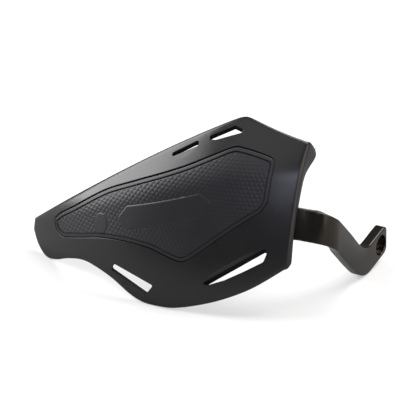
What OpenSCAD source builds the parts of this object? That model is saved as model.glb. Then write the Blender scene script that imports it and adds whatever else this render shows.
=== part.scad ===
// Open hand guard for a motorcycle handlebar: a moulded shield with a textured panel let into
// its face, carried by a side arm that ends in a bolt eye.
// The guard stands as it does off the bike, on three points: the lobe of the shield, its
// outboard end and the elbow of the arm. X runs along the handlebar with the inboard side at
// +X, Y runs from the wind to the rider, and Z is up.

/* [Shield outline] */
// Station of the outboard end, along the handlebar
out_x = -124; // [-130:0.5:-118]
// Station of the fold where the inboard edge turns back
fold_x = 82.4; // [78:0.2:90]
// Station of the highest point of the top edge
apex_x = 36; // [28:1:44]
// Height of the top edge there, before its corner is rounded
apex_z = 129.4; // [122:0.2:136]
// Fall of the top edge towards the outboard end, at the apex
top_fall = 0.44; // [0.36:0.01:0.5]
// Radius of the bow in that edge
top_bow_r = 325; // [280:5:400]
// Fall of the top edge towards the inboard fold
brow_fall = 0.275; // [0.2:0.005:0.4]
// Rounding of the corner at the apex
apex_round = 2.6; // [1:0.2:6]

/* [Shield form] */
// Wall thickness
wall = 3.2; // [2.8:0.1:4]
// Half width of the bullnose that finishes every free edge
edge_round = 0.9; // [0.5:0.1:1.4]
// Station that stands furthest into the wind
crown_x = 10; // [0:1:20]
// Radius of the wrap round the hand, seen from above
wrap_r = 165; // [150:5:220]
// Lean of the wall at the foot, as a slope
foot_lean = 0.11; // [0.05:0.01:0.2]
// Radius by which the lean grows with height
lean_r = 232; // [200:4:300]
// Further slope that the brow gains above its bend
brow_curl = 0.45; // [0.2:0.05:0.6]
// Half width of the brow's soft bend
brow_soft = 8; // [4:1:12]
// Turn of the inboard edge at the fold, in degrees
fold_turn = 50; // [36:1:56]
// Outer radius of that fold
fold_r = 4.6; // [4.4:0.2:7]
// Depth of the turned edge past its fold
flange_d = 0.9; // [0.8:0.1:4]
// Extra depth that the turned edge has at its top horn
horn_d = 7.4; // [2:0.2:8]

/* [Vents] */
// Corner radius of the four vents
vent_r = 1; // [0.5:0.1:1]
// Slant of the lower louvred vent, down towards the hand, in degrees
vent_slant = 48; // [30:1:52]
// Slant of the two louvred vents in the brow
brow_slant = 75; // [45:1:78]

/* [Panel] */
// Thickness of the panel let into the shield
panel_t = 1.6; // [1.2:0.1:2]
// Gap round the panel
panel_gap = 0.6; // [0.3:0.1:1]
// Width of the smooth border round the panel's textured field
border_w = 2.2; // [2:0.2:4]
// Depth of the field under that border
field_d = 0.5; // [0.3:0.1:0.7]
// Height of the smooth round pad near the outboard end
pad_h = 14.5; // [10:0.5:18]
// Width of that pad, along the handlebar
pad_w = 12; // [8:0.5:15]

/* [Arm] */
// Thickness of the flat arm
arm_t = 8; // [6:0.1:9]
// Height of the arm at the shield
arm_root_h = 23; // [21:0.2:26]
// Height of the arm past its bend
arm_tail_h = 26.6; // [24:0.2:29]
// Height of the arm at its eye
arm_eye_h = 21.2; // [18.4:0.2:24]
// Reach of the arm behind the shield, outboard of its bend
arm_root_l = 66; // [60:1:74]
// Length of the arm from its bend to its end
arm_tail_l = 79; // [74:1:86]
// Station of the corner where the arm turns to the rear
arm_turn_x = 108.2; // [104:0.2:114]
// Distance of that corner behind the foremost face
arm_turn_y = 48; // [47:0.5:56]
// Angle of the root to the handlebar, in degrees
arm_root_a = 14; // [10:1:18]
// Angle of the tail to straight back, in degrees
arm_tail_a = 6; // [2:1:10]
// Outer radius of the bend between root and tail
arm_bend_r = 10; // [9:0.5:14]
// Lean of the root, so that it lies along the wall, in degrees
arm_root_lean = 22; // [16:1:26]
// Height of the middle of the root behind the shield
arm_root_z = 62.7; // [60:0.2:66]
// Distance along the arm from the bend to the elbow
elbow_s = 48.2; // [44:0.2:52]
// Edge chamfer of the arm
arm_chamfer = 0.8; // [0.4:0.1:1.5]

/* [Bolt eye] */
// Diameter of the bolt bore
eye_bore = 8.4; // [6.4:0.2:10.4]
// Diameter of the recess for the bolt's head
eye_seat = 14.8; // [13:0.2:16]
// Depth of that recess
eye_seat_d = 3; // [2:0.2:4]
// Distance of the bore from the end of the arm
eye_inset = 9.4; // [9:0.2:12]

/* [Fasteners] */
// Thread size of the two arm screws
screw_d = 6; // [5:0.5:6]
// Clearance hole for them in the arm
screw_hole = 6.6; // [6.6:0.2:8]
// Head diameter of the arm screws
head_d = 10.5; // [9.5:0.5:12]
// Head height of the arm screws
head_h = 3.3; // [2.5:0.1:4]
// Washer diameter
washer_d = 12.5; // [12:0.5:14]
// Washer thickness
washer_t = 1.6; // [1:0.1:2]
// Outer diameter of the brass inserts
insert_d = 8.4; // [8:0.2:9]
// Length of the brass inserts
insert_l = 6.5; // [5:0.5:7]
// Diameter of the bosses that hold the inserts
boss_d = 14.5; // [13:0.5:16]
// Diameter of the five stubs on the back of the panel
stub_d = 6.4; // [6:0.2:8]
// Head diameter of the five panel screws
panel_head_d = 9; // [8.8:0.2:11]
// Thread size of the panel screws
panel_screw_d = 3; // [2.5:0.5:3.5]
// Clearance between parts that fit into each other, on the radius
fit = 0.1; // [0.05:0.05:0.2]

/* [Hidden] */
$fn = 48;

// The lower edge of the shield as [station, height]: outboard foot, hand bay, lobe, inboard rise
foot_edge = [
    [-124, 12], [-119, 4.8], [-110.5, -0.05], [-101, 2], [-88, 8.8], [-74, 13.6], [-62, 13.8],
    [-45, 10.2], [-28, 2.8], [-18, 0.15], [-7, 0.05], [6, 1.2], [25, 6.5], [43, 13], [62, 22.2], [84, 37]
];
// The line along which the brow bends back
brow_line = [[-125, 20], [-60, 62], [10, 92], [45, 102], [95, 102]];
// Upper and lower edge of the panel
panel_top = [[-102, 31.4], [-97.5, 36.4], [-89, 43.3], [-60, 66], [-36, 79], [-8, 92], [4, 97.6],
    [22, 106.6], [35, 112.3], [42, 112.2], [50, 111.1], [60, 108.9], [63.2, 107.6], [65, 105.4]];
panel_foot = [[-102, 28.6], [-99.6, 24.6], [-93, 22.5], [-86, 25], [-76, 28.8], [-58, 35.4], [-36, 39.6],
    [-15, 40], [3, 36.2], [11, 36], [22, 43.8], [39, 58.2], [55, 70.2], [61.5, 75], [65, 81]];
// Vents as corners [station, height], each in order round its outline
vents = [
    [[-12.2, 99.6], [3.8, 110], [7, 110], [4.4, 107.6], [-9.8, 99]],
    [[12.6, 113.8], [30.4, 122.6], [38.2, 120.8], [19, 113.4]],
    [[25.8, 20.4], [68.4, 49.8], [69.8, 45], [67.6, 39.2], [54.5, 32.4], [43, 25.8], [32.6, 21.8]],
    [[-46.2, 15.9], [-43.8, 20.7], [-10.6, 13.8], [-15.6, 6.4]]
];
// The last vent goes straight back; the others are louvred
vent_slants = [brow_slant, brow_slant, vent_slant, 0];
panel_x0 = panel_foot[0][0];
panel_x1 = panel_foot[len(panel_foot) - 1][0];
// Panel stubs as [station, height], and the stations of the arm's two screws
stubs = [[-88, 35], [-50, 57], [-12, 62], [20, 62], [42, 99]];
screw_stations = [50, 76];
// Smooth land in the middle of the textured field
land = [[-46, 52], [-39, 63], [17, 83], [27, 78], [20, 67], [-36, 47]];
// Middle of the round pad
pad_at = [-59, 44.6];

// Counts of lengthwise and crosswise steps in the moulded faces
wall_steps = 32;
wall_rows = 15;
fold_steps = 4;
flange_steps = 2;
panel_steps = 26;
panel_rows = 8;
field_steps = 22;
corner_steps = 4;
// Hair's breadth under the panel, which its facets need
seat_gap = 0.08;
// Spacing over which the slope of the face is taken
slope_step = 0.5;
// Share of the wall at which the bullnose starts on each side, and of the height over which its
// direction is taken
rim_near = 0.28;
rim_step = 0.02;
// Crowding of the stations at the rounded foot
crowding = 1.12;
// Where the horn stands furthest out, and how far it spreads, as shares of the fold's height
horn_v = 0.945;
horn_w = 0.07;
// Rise of the turned edge at its foot and fall at its top
flange_rise = 3;
flange_fall = 9;
// Half length of the punches that cut the vents
punch_l = 120;
// Corner radius of the plain land
land_r = 3;
// Depth over which a boss is drawn, and the lead that its slanted plate needs
boss_reach = 20;
boss_lead = 6;
// Collars on the back of the shield, round the panel stubs, which stop just below them
collar_wall = 1.6;
collar_d = stub_d + 2 * collar_wall;
collar_h = 2.4;
stub_short = 0.15;
// How far added features sink into what they stand on, and cuts run past what they open
sink = 0.5;
past = 1;
// Space past the end of a blind hole
blind = 0.3;
// Shoulder of wall round a boss, in the plate that clips it, and how far that plate's front face
// lies inside the wall
boss_shoulder = 3;
boss_foot = 2;
clip_steps = 5;
// Length of the panel screws under their heads, of their pilot holes, and the hair's breadth that
// their heads stand off the collars
panel_screw_l = 4.6;
pilot_l = 5.1;
head_gap = 0.02;
panel_head_h = 1.9;
// Profile of the heads, as shares of their diameter and height: rim, crown and socket
head_rim = 0.3;
head_crown = [0.42, 0.72];
head_top = 0.28;
socket = 0.77;
socket_floor = 0.4;
pan_rim = 0.45;
pan_top = 0.36;
pan_socket = 0.9;
// Share of the outboard end of the panel that its border takes, in borders
end_borders = 3;
// Slopes of the arm past its root, past its bend and past its elbow, and where they blend. The
// root's lean runs out over lean_run to each side of the bend.
root_fall = 0.156;
root_fall_s = 20;
root_soft = 3;
tail_fall = 1.044;
bend_lead = 1.6;
lean_run = 11;
bend_soft = 7;
eye_rise = 0.21;
elbow_soft = 10;
// Stretch over which the arm tapers, and the radius of its end corners
taper_s0 = 24;
taper_s1 = 60;
arm_corner_r = 5;

function lerp(a, b, t) = a + (b - a) * t;
function unit(v) = v / norm(v);
// A ramp that starts at zero, rounded over a width of w to each side
function soft(t, w) = t < -w ? 0 : t > w ? t : pow(t + w, 2) / (4 * w);
// The lower of two values, rounded where they cross
function soft_min(a, b, k) = (a + b - sqrt(pow(a - b, 2) + k * k)) / 2;

// Height at station x of a smooth curve through [station, height] knots
function knot_slope(k, i) =
    let (a = max(i - 1, 0), b = min(i + 1, len(k) - 1))
    (k[b][1] - k[a][1]) / (k[b][0] - k[a][0]);
function knot_span(k, x, i = 0) = i >= len(k) - 2 || x <= k[i + 1][0] ? i : knot_span(k, x, i + 1);
function knot_z(k, x) =
    let (
        i = knot_span(k, x),
        w = k[i + 1][0] - k[i][0],
        t = (x - k[i][0]) / w
    )
    k[i][1] * (2 * t * t * t - 3 * t * t + 1) + k[i + 1][1] * (3 * t * t - 2 * t * t * t)
    + w * knot_slope(k, i) * (t * t * t - 2 * t * t + t)
    + w * knot_slope(k, i + 1) * (t * t * t - t * t);

// The shield's outer face: its distance behind the foremost plane at station x and height z
function face_y(x, z) =
    pow(x - crown_x, 2) / (2 * wrap_r) + foot_lean * z + z * z / (2 * lean_r)
    + brow_curl * soft(z - knot_z(brow_line, x), brow_soft);
function slope_x(x, z) = (face_y(x + slope_step, z) - face_y(x - slope_step, z)) / (2 * slope_step);
function slope_z(x, z) = (face_y(x, z + slope_step) - face_y(x, z - slope_step)) / (2 * slope_step);
function inward(x, z) = unit([-slope_x(x, z), 1, -slope_z(x, z)]);
function face_point(x, z, d) = [x, face_y(x, z), z] + d * inward(x, z);

function top_z(x) =
    let (
        left = apex_z - top_fall * (apex_x - x) - pow(min(x - apex_x, 0), 2) / (2 * top_bow_r),
        right = apex_z - brow_fall * (x - apex_x)
    )
    soft_min(left, right, apex_round);
function foot_z(x) = knot_z(foot_edge, x);

// Stations run from the outboard end to the fold, closer together at the rounded foot
function wall_x(i) = lerp(out_x, fold_x, pow(i / wall_steps, crowding));
function flange_depth(v) = flange_d + horn_d * exp(-pow((v - horn_v) / horn_w, 2));

// A point of the turned edge at depth d: q goes from 0 to 1 round the fold, then to 2 along it
function flange_point(q, v, d) =
    let (
        z0 = lerp(foot_z(fold_x), top_z(fold_x), v),
        a0 = atan(slope_x(fold_x, z0)),
        a = a0 + fold_turn * min(q, 1),
        run = max(q - 1, 0) * flange_depth(v),
        centre = [fold_x - fold_r * sin(a0), face_y(fold_x, z0) + fold_r * cos(a0)],
        spot = centre + fold_r * [sin(a), -cos(a)] + run * [cos(a), sin(a)],
        drift = lerp(flange_rise, -flange_fall, v) * pow(q / 2, 2),
        n = unit([-sin(a), cos(a), -slope_z(fold_x, z0) * cos(a)])
    )
    [spot[0], spot[1], z0 + drift] + d * n;
function fold_q(k) = k <= fold_steps ? k / fold_steps : 1 + (k - fold_steps) / flange_steps;
function wall_point(i, v, d) =
    i > wall_steps
    ? flange_point(fold_q(i - wall_steps), v, d)
    : let (x = wall_x(i)) face_point(x, lerp(foot_z(x), top_z(x), v), d);

// A point of the bullnose along the top (side 1) or the foot (side -1) of the wall
function rim_point(i, side, d) =
    let (
        v = side > 0 ? 1 : 0,
        p = wall_point(i, v, d),
        q = wall_point(i, v - side * rim_step, d)
    )
    p + edge_round * unit(p - q);
// One closed section of the wall: up the outer face, over the top, down the inner face
function wall_loop(i, d0, d1) = concat(
    [rim_point(i, -1, lerp(d0, d1, rim_near))],
    [for (j = [0:wall_rows]) wall_point(i, j / wall_rows, d0)],
    [for (m = [rim_near, 1 - rim_near]) rim_point(i, 1, lerp(d0, d1, m))],
    [for (j = [wall_rows:-1:0]) wall_point(i, j / wall_rows, d1)],
    [rim_point(i, -1, lerp(d0, d1, 1 - rim_near))]
);
// The same section narrowed and set out past column i, away from column k, as that end's bullnose
function end_loop(i, k) =
    let (
        near = wall_loop(i, wall * rim_near, wall * (1 - rim_near)),
        far = wall_loop(k, wall * rim_near, wall * (1 - rim_near))
    )
    [for (p = [0:len(near) - 1]) near[p] + edge_round * unit(near[p] - far[p])];

// Skins a row of equal closed sections, and closes the first and the last across themselves
module skin(loops) {
    n = len(loops[0]);
    last = (len(loops) - 1) * n;
    sides = [for (i = [0:len(loops) - 2]) for (k = [0:n - 1])
        let (a = i * n + k, b = i * n + (k + 1) % n)
        each [[a, b, b + n], [a, b + n, a + n]]];
    first_cap = [for (k = [0:n / 2 - 2]) each [[k, n - 2 - k, k + 1], [k, n - 1 - k, n - 2 - k]]];
    last_cap = [for (f = first_cap) [last + f[0], last + f[2], last + f[1]]];
    polyhedron(points = [for (l = loops) each l], faces = concat(sides, first_cap, last_cap));
}

// A plate that follows the shield's face between two edge curves, grown by g all round,
// from depth d0 to depth d1
function edge_shift(k, x, g) = g * sqrt(1 + pow((knot_z(k, x + 1) - knot_z(k, x - 1)) / 2, 2));
module plate(foot, top, x0, x1, g, d0, d1, steps, rows) {
    skin([for (i = [0:steps])
        let (
            x = lerp(x0, x1, i / steps),
            low = knot_z(foot, x) - edge_shift(foot, x, g),
            high = knot_z(top, x) + edge_shift(top, x, g)
        )
        concat(
            [for (j = [0:rows]) face_point(x, lerp(low, high, j / rows), d0)],
            [for (j = [rows:-1:0]) face_point(x, lerp(low, high, j / rows), d1)]
        )]);
}

// Stands its children on the shield's face, at depth d, with +Z pointing inward
module at_face(x, z, d = 0) {
    n = inward(x, z);
    translate(face_point(x, z, d))
        rotate([0, acos(n[2]), atan2(n[1], n[0])])
            children();
}

// A polygon's corners rounded to radius r, each by corner_steps + 1 points
function rounded(poly, r) = [for (i = [0:len(poly) - 1])
    let (
        p = poly[i],
        u = unit(poly[(i + len(poly) - 1) % len(poly)] - p),
        w = unit(poly[(i + 1) % len(poly)] - p),
        half = acos(u * w) / 2,
        centre = p + unit(u + w) * r / sin(half),
        a = p + u * r / tan(half) - centre,
        b = p + w * r / tan(half) - centre
    )
    for (k = [0:corner_steps]) centre + r * unit(lerp(a, b, k / corner_steps))];

// A straight punch through the wall. Its outline is given as it shows on the face, its corners
// have radius r, and the slant turns it down towards the rear.
module punch(outline, r, slant = 0) {
    flat = [for (c = outline) [c[0], face_y(c[0], c[1]) * sin(slant) + c[1] * cos(slant)]];
    rotate([90 - slant, 0, 0])
        translate([0, 0, -punch_l])
            linear_extrude(height = 2 * punch_l)
                polygon(rounded(flat, r));
}

// The arm's path, seen from above, along its middle plane: s is 0 at the middle of the bend
arm_mid_r = arm_bend_r - arm_t / 2;
bend_turn = 90 - arm_tail_a - arm_root_a;
bend_half = arm_mid_r * bend_turn * PI / 360;
bend_reach = arm_bend_r * tan(bend_turn / 2);
bend_centre = [arm_turn_x, arm_turn_y] - bend_reach * [cos(arm_root_a), sin(arm_root_a)]
    + arm_bend_r * [-sin(arm_root_a), cos(arm_root_a)];
function arm_heading(s) = arm_root_a + bend_turn * max(0, min(1, (s + bend_half) / (2 * bend_half)));
function arm_lean(s) = arm_root_lean * (1 - smooth((s + lean_run) / (2 * lean_run)));
// A point of the arm at height h above its middle line and depth d behind the face that looks
// into the wind
function arm_point(s, h, d) =
    let (
        a = arm_heading(s),
        e = arm_lean(s),
        run = s > bend_half ? s - bend_half : min(0, s + bend_half),
        spot = bend_centre + arm_bend_r * [sin(a), -cos(a)] + run * [cos(a), sin(a)],
        up = [-sin(a) * sin(e), cos(a) * sin(e), cos(e)],
        back = [-sin(a) * cos(e), cos(a) * cos(e), -sin(e)]
    )
    [spot[0], spot[1], arm_z(s)] + h * up + d * back;
// Height of the arm's middle: level root, fall past the bend, rise past the elbow
function arm_z(s) = arm_root_z
    - root_fall * soft(s + root_fall_s, root_soft)
    - (tail_fall - root_fall) * soft(s + bend_lead, bend_soft)
    + (tail_fall + eye_rise) * soft(s - elbow_s, elbow_soft);
arm_s0 = -bend_half - arm_root_l;
arm_s1 = bend_half + arm_tail_l;
// What a rounded end corner takes off the arm's half height
function corner_cut(s) =
    let (u = min(s - arm_s0, arm_s1 - s, arm_corner_r))
    arm_corner_r - sqrt(max(0, arm_corner_r * arm_corner_r - pow(arm_corner_r - u, 2)));
function smooth(t) = let (c = max(0, min(1, t))) c * c * (3 - 2 * c);
function arm_half(s) =
    let (
        root_or_tail = lerp(arm_root_h, arm_tail_h, smooth((s + lean_run) / (2 * lean_run))),
        taper = smooth((s - taper_s0) / (taper_s1 - taper_s0))
    )
    lerp(root_or_tail, arm_eye_h, taper) / 2;
function arm_loop(s) =
    let (
        hi = arm_half(s) - corner_cut(s),
        lo = -hi,
        c = arm_chamfer
    )
    [
        arm_point(s, lo + c, 0), arm_point(s, hi - c, 0),
        arm_point(s, hi, c), arm_point(s, hi, arm_t - c),
        arm_point(s, hi - c, arm_t), arm_point(s, lo + c, arm_t),
        arm_point(s, lo, arm_t - c), arm_point(s, lo, c)
    ];
// Distance along the arm of a station on its straight root
root_start = bend_centre + arm_bend_r * [sin(arm_root_a), -cos(arm_root_a)];
function root_s(x) = -bend_half - (root_start[0] - x) / cos(arm_root_a);
// Stands its children on the arm's front face, with +Z pointing through the arm to the rear
module at_arm(s) {
    translate(arm_point(s, 0, 0))
        rotate([-90 - arm_lean(s), 0, arm_heading(s)])
            children();
}

// The guard stands with its lowest edges on the floor, and its outline's centre over the origin
stand_z = edge_round + wall * foot_lean;
centre_x = (out_x + arm_point(arm_s1, 0, 0)[0]) / 2;
centre_y = (face_y(crown_x, foot_z(crown_x)) + arm_point(arm_s1, 0, arm_t)[1]) / 2;
module stand() {
    translate([-centre_x, -centre_y, stand_z])
        children();
}

// A boss from the arm's front face into the back of the wall
module boss(x) {
    s = root_s(x);
    z = arm_z(s);
    r = boss_d / 2 + boss_shoulder;
    x0 = x - r - boss_lead;
    x1 = x + r;
    intersection() {
        at_arm(s)
            translate([0, 0, -boss_reach])
                cylinder(d = boss_d, h = boss_reach);
        plate([[x0, z - r], [x1, z - r]], [[x0, z + r], [x1, z + r]], x0, x1, 0,
            boss_foot, boss_reach + wall, clip_steps, clip_steps);
    }
}

module guard_shell() {
    color("#2c2c2e")
        stand()
            difference() {
                union() {
                    skin(concat(
                        [end_loop(0, 1)],
                        [for (i = [0:wall_steps + fold_steps + flange_steps]) wall_loop(i, 0, wall)],
                        [end_loop(wall_steps + fold_steps + flange_steps,
                            wall_steps + fold_steps + flange_steps - 1)]
                    ));
                    for (x = screw_stations)
                        boss(x);
                    for (p = stubs)
                        at_face(p[0], p[1], wall - past)
                            cylinder(d = collar_d, h = collar_h + past);
                }
                plate(panel_foot, panel_top, panel_x0 - panel_gap, panel_x1 + panel_gap,
                    panel_gap, -2 * past, panel_t + seat_gap, panel_steps, panel_rows);
                for (i = [0:len(vents) - 1])
                    punch(vents[i], vent_r, vent_slants[i]);
                for (p = stubs)
                    at_face(p[0], p[1], 0)
                        cylinder(d = stub_d + 2 * fit, h = wall + collar_h + past);
                for (x = screw_stations)
                    at_arm(root_s(x))
                        translate([0, 0, -insert_l - blind])
                            cylinder(d = insert_d, h = insert_l + blind + past);
            }
}

// Smooth islands that the sunk field leaves standing: the oval pad and the plain land
module islands() {
    punch(land, land_r);
    translate([pad_at[0], punch_l, pad_at[1]])
        rotate([90, 0, 0])
            linear_extrude(height = 2 * punch_l)
                polygon([for (a = [0:15:345]) [pad_w / 2 * cos(a), pad_h / 2 * sin(a)]]);
}

module panel_insert() {
    color("#35353a")
        stand()
            difference() {
                union() {
                    plate(panel_foot, panel_top, panel_x0, panel_x1, 0, 0, panel_t, panel_steps,
                        panel_rows);
                    for (p = stubs)
                        at_face(p[0], p[1], panel_t - sink)
                            cylinder(d = stub_d, h = wall + collar_h - panel_t + sink - stub_short);
                }
                difference() {
                    plate(panel_foot, panel_top, panel_x0 + end_borders * border_w, panel_x1 - border_w,
                        -border_w, -past, field_d, field_steps, panel_rows);
                    islands();
                }
                for (p = stubs)
                    at_face(p[0], p[1], wall + collar_h - stub_short - pilot_l)
                        cylinder(d = panel_screw_d + fit, h = pilot_l + past);
            }
}

module mount_arm() {
    color("#3a3835")
        stand()
            difference() {
                skin([for (s = arm_stations()) arm_loop(s)]);
                for (x = screw_stations)
                    at_arm(root_s(x))
                        translate([0, 0, -past])
                            cylinder(d = screw_hole, h = arm_t + 2 * past);
                at_arm(arm_s1 - eye_inset)
                    translate([0, 0, -past]) {
                        cylinder(d = eye_bore, h = arm_t + 2 * past);
                        cylinder(d = eye_seat, h = eye_seat_d + past);
                    }
            }
}
// Sections along the arm: close together at its corners, its bend and its elbow
corner_shares = [0, 0.1, 0.28, 0.56, 1];
turn_reach = 12;
function arm_stations() = concat(
    [for (u = corner_shares) arm_s0 + u * arm_corner_r],
    [for (k = [1:5]) lerp(arm_s0 + arm_corner_r, -turn_reach, k / 5)],
    [for (k = [1:16]) lerp(-turn_reach, turn_reach, k / 16)],
    [for (k = [1:5]) lerp(turn_reach, elbow_s - turn_reach, k / 5)],
    [for (k = [1:12]) lerp(elbow_s - turn_reach, elbow_s + turn_reach, k / 12)],
    [for (k = [1:3]) lerp(elbow_s + turn_reach, arm_s1 - arm_corner_r, k / 3)],
    [for (k = [3:-1:0]) arm_s1 - corner_shares[k] * arm_corner_r]
);

// A button-head screw from behind the arm, through its washer, into the insert
module arm_screw(x) {
    grip = arm_t + washer_t;
    color("#1f1f21")
        stand()
            at_arm(root_s(x))
                difference() {
                    union() {
                        translate([0, 0, sink - insert_l])
                            cylinder(d = screw_d, h = insert_l + grip);
                        translate([0, 0, grip])
                            rotate_extrude()
                                polygon([[0, 0], [head_d / 2, 0], [head_d / 2, head_h * head_rim],
                                    [head_d * head_crown[0], head_h * head_crown[1]],
                                    [head_d * head_top, head_h], [0, head_h]]);
                    }
                    translate([0, 0, grip + head_h * socket_floor])
                        cylinder(d = screw_d * socket, h = head_h, $fn = 6);
                }
}

module arm_washer(x) {
    color("#8d9094")
        stand()
            at_arm(root_s(x))
                translate([0, 0, arm_t])
                    difference() {
                        cylinder(d = washer_d, h = washer_t);
                        translate([0, 0, -past])
                            cylinder(d = screw_d + 4 * fit, h = washer_t + 2 * past);
                    }
}

module boss_insert(x) {
    color("#b08d4a")
        stand()
            at_arm(root_s(x))
                translate([0, 0, -insert_l])
                    difference() {
                        cylinder(d = insert_d, h = insert_l);
                        translate([0, 0, -past])
                            cylinder(d = screw_d + fit, h = insert_l + 2 * past);
                    }
}

// A pan-head screw into a panel stub, its head on the collar behind the shield
module panel_screw(p) {
    color("#26262a")
        stand()
            at_face(p[0], p[1], wall + collar_h + head_gap)
                difference() {
                    union() {
                        translate([0, 0, -panel_screw_l])
                            cylinder(d = panel_screw_d, h = panel_screw_l + sink);
                        rotate_extrude()
                            polygon([[0, 0], [panel_head_d / 2, 0],
                                [panel_head_d / 2, panel_head_h * pan_rim],
                                [panel_head_d * pan_top, panel_head_h], [0, panel_head_h]]);
                    }
                    translate([0, 0, panel_head_h * socket_floor])
                        cylinder(d = panel_screw_d * pan_socket, h = panel_head_h, $fn = 6);
                }
}

guard_shell();
panel_insert();
mount_arm();
arm_screw(screw_stations[0]);  // arm_screw_outer
arm_screw(screw_stations[1]);  // arm_screw_inner
arm_washer(screw_stations[0]);  // arm_washer_outer
arm_washer(screw_stations[1]);  // arm_washer_inner
boss_insert(screw_stations[0]);  // boss_insert_outer
boss_insert(screw_stations[1]);  // boss_insert_inner
panel_screw(stubs[0]);  // panel_screw_1
panel_screw(stubs[1]);  // panel_screw_2
panel_screw(stubs[2]);  // panel_screw_3
panel_screw(stubs[3]);  // panel_screw_4
panel_screw(stubs[4]);  // panel_screw_5
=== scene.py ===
# %% [markdown]
# # An open hand guard for a motorcycle
# The guard is a moulded shield that wraps round the front of the rider's hand, with a textured panel
# let into its face and a cranked arm that bolts to the handlebar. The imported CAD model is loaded
# first and never changed: it says where everything is. Each visible piece is then built over it with
# finer forms than a mechanical model needs, such as rolled edges and the panel's honeycomb.

# %% Load the frame
import math

import bmesh
import bpy
from mathutils import Matrix, Vector


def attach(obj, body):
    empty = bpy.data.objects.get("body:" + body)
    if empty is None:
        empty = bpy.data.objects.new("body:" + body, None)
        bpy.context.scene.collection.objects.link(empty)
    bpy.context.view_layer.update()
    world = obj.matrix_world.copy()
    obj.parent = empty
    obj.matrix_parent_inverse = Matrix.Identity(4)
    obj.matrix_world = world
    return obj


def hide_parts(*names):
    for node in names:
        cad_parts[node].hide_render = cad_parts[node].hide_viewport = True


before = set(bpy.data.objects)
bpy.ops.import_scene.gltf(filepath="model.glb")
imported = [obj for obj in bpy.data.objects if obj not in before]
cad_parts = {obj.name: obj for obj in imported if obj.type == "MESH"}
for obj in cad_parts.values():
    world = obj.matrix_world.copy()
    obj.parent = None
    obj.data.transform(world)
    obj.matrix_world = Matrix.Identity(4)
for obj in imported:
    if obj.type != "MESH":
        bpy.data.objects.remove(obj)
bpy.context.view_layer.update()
print("pieces in the frame:", len(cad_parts))

# %% [markdown]
# ## Camera
# A product photograph of something this small is taken from far off with a long lens, so parallel
# edges stay parallel. The camera is turned 22 degrees inboard and looks down by 27 degrees. Its
# distance is twelve metres, and the lens is chosen so that the frame is 300 mm wide at the guard.

# %% Camera
TURN = math.radians(22)
DOWN = math.radians(27)
DISTANCE = 12.0
FRAME_WIDTH = 0.300
AIM_RIGHT, AIM_UP = 0.01009, 0.04149
SENSOR_MM, CLIP_END = 36, 100

to_camera = Vector((math.sin(TURN) * math.cos(DOWN), -math.cos(TURN) * math.cos(DOWN), math.sin(DOWN)))
right = Vector((math.cos(TURN), math.sin(TURN), 0))
up = to_camera.cross(right)
centre = right * AIM_RIGHT + up * AIM_UP

camera = bpy.data.objects.new("camera", bpy.data.cameras.new("camera"))
bpy.context.scene.collection.objects.link(camera)
camera.data.sensor_width = SENSOR_MM
camera.data.lens = SENSOR_MM * DISTANCE / FRAME_WIDTH
camera.data.clip_end = CLIP_END
camera.location = centre + to_camera * DISTANCE
camera.rotation_euler = (-to_camera).to_track_quat("-Z", "Y").to_euler()
bpy.context.scene.camera = camera
print("lens in mm:", round(camera.data.lens))

# %% [markdown]
# ## Helpers for materials
# Colours are written as the hex values that a paint chart would give, and one function turns them to
# the linear values that Blender works in. A second function adds a node, sets its values and links
# its inputs, so that a material reads as a short recipe.

# %% Colour and node helpers
MM = 0.001


def linear(code):
    channels = [int(code[i:i + 2], 16) / 255 for i in (1, 3, 5)]
    return [c / 12.92 if c <= 0.04045 else ((c + 0.055) / 1.055) ** 2.4 for c in channels] + [1]


def add_node(tree, kind, settings=None, **inputs):
    made = tree.nodes.new(kind)
    for name, value in (settings or {}).items():
        setattr(made, name, value)
    for name, value in inputs.items():
        socket = made.inputs[int(name[1:])] if name[1:].isdigit() else made.inputs[name.replace("_", " ")]
        if isinstance(value, bpy.types.NodeSocket):
            tree.links.new(value, socket)
        else:
            socket.default_value = value
    return made


def new_material(name):
    material = bpy.data.materials.new(name)
    material.use_nodes = True
    material.node_tree.nodes.clear()
    return material, material.node_tree


def finish_material(tree, shader, bump=None):
    output = add_node(tree, "ShaderNodeOutputMaterial")
    tree.links.new(shader.outputs[0], output.inputs["Surface"])
    if bump is not None:
        tree.links.new(bump.outputs[0], shader.inputs["Normal"])


print("mid grey #808080 in linear values:", round(linear("#808080")[0], 3))

# %% [markdown]
# ## Moulded plastic
# The shield is injection-moulded polypropylene, coloured through in black. The mould is finely
# spark-eroded, which leaves a grain a few tenths of a millimetre wide. It breaks up reflections, so
# the plastic has a satin sheen. One recipe serves the shield, the panel and the arm, each with its
# own colour, gloss and grain. The arm's nylon is the blackest and glossiest, and mirrors a little
# warmer. The grain is noise on Object coordinates, which are metres here, so a grain of 0.35 mm is a
# noise scale of 1 / 0.35 mm, and wide clouds of noise vary the colour and the gloss a little. The
# walls of the vents and of the pocket get a copy of the recipe that is rougher and much blacker:
# the dullness is a rougher finish, and the blacker colour is painted shade for the hollows.

# %% Moulded plastics
CLOUD_MM, CLOUD_LOW, CLOUD_HIGH = 28, 0.3, 0.7
GLOSS_SPREAD, GRAIN_RISE_MM = 0.03, 0.06


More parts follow.
